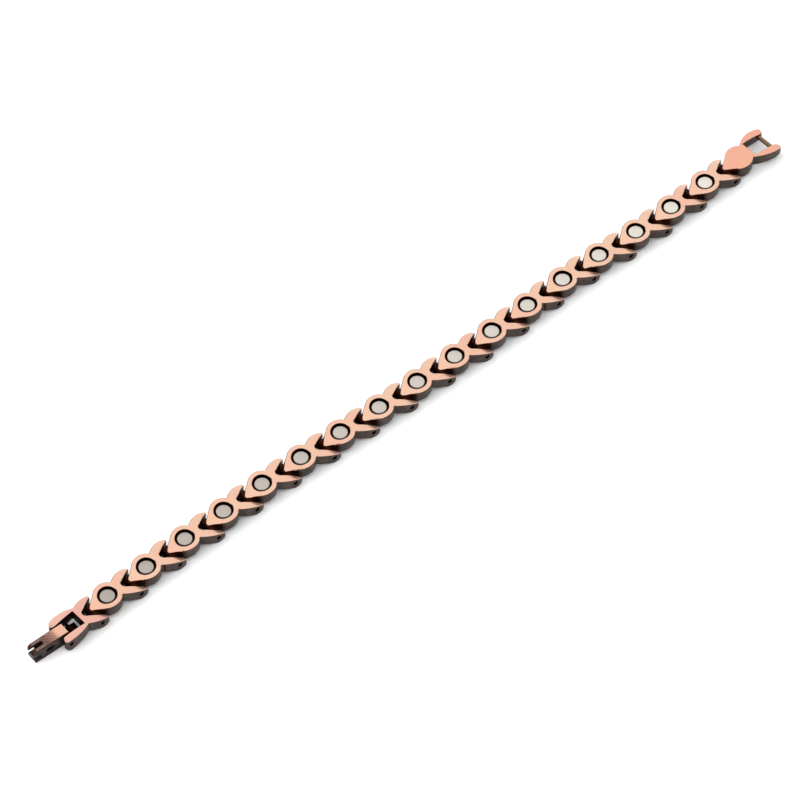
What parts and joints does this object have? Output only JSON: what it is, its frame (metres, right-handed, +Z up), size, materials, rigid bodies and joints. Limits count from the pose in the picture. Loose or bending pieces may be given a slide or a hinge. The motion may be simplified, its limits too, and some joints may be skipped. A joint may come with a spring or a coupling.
{
  "type": "magnetic bracelet",
  "caption": "Copper-coloured link bracelet laid open, each link with a disc that holds a round magnet, a fork and fold-over clasp at one end and a window with a crossbar at the other.",
  "frame": {"origin": "centre of the bounding box, on the surface that the bracelet lies on", "axes": "+X along the open bracelet from its clasp to its crossbar, +Y across it, +Z up through the magnets"},
  "size_m": [0.2085, 0.0084, 0.0039],
  "materials": {
    "copper_links": "polished copper-coloured plating on the tops, dark antique walls",
    "cover_copper": "copper-coloured plating, darker to the tip",
    "dark_steel": "dark antique plating",
    "pin_steel": "dark satin",
    "bar_brass": "satin",
    "magnet_metal": "matt light grey plating"
  },
  "bodies": {
    "chain": {"link_01": "copper_links", "link_02": "copper_links", "link_03": "copper_links", "link_04": "copper_links", "link_05": "copper_links", "link_06": "copper_links", "link_07": "copper_links", "link_08": "copper_links", "link_09": "copper_links", "link_10": "copper_links", "link_11": "copper_links", "link_12": "copper_links", "link_13": "copper_links", "link_14": "copper_links", "link_15": "copper_links", "link_16": "copper_links", "link_17": "copper_links", "magnet_01": "magnet_metal", "magnet_02": "magnet_metal", "magnet_03": "magnet_metal", "magnet_04": "magnet_metal", "magnet_05": "magnet_metal", "magnet_06": "magnet_metal", "magnet_07": "magnet_metal", "magnet_08": "magnet_metal", "magnet_09": "magnet_metal", "magnet_10": "magnet_metal", "magnet_11": "magnet_metal", "magnet_12": "magnet_metal", "magnet_13": "magnet_metal", "magnet_14": "magnet_metal", "magnet_15": "magnet_metal", "magnet_16": "magnet_metal", "magnet_17": "magnet_metal", "pin_01": "pin_steel", "pin_02": "pin_steel", "pin_03": "pin_steel", "pin_04": "pin_steel", "pin_05": "pin_steel", "pin_06": "pin_steel", "pin_07": "pin_steel", "pin_08": "pin_steel", "pin_09": "pin_steel", "pin_10": "pin_steel", "pin_11": "pin_steel", "pin_12": "pin_steel", "pin_13": "pin_steel", "pin_14": "pin_steel", "pin_15": "pin_steel", "pin_16": "pin_steel", "pin_17": "pin_steel", "pin_18": "pin_steel", "clasp_link": "copper_links", "end_link": "copper_links", "end_bar": "bar_brass", "fork_pin": "pin_steel"},
    "clasp_base": {"clasp_base": "dark_steel"},
    "clasp_cover": {"clasp_cover": "cover_copper"}
  },
  "joints": [
    {"name": "clasp_swing", "type": "hinge", "parent": "chain", "child": "clasp_base", "pos_m": [-0.09645, -0.00084, 0.002], "axis": [0, 1, 0], "range_deg": [-30, 60]},
    {"name": "cover_swing", "type": "hinge", "parent": "clasp_base", "child": "clasp_cover", "pos_m": [-0.09645, -0.00084, 0.002], "axis": [0, 1, 0], "range_deg": [0, 75]}
  ]
}
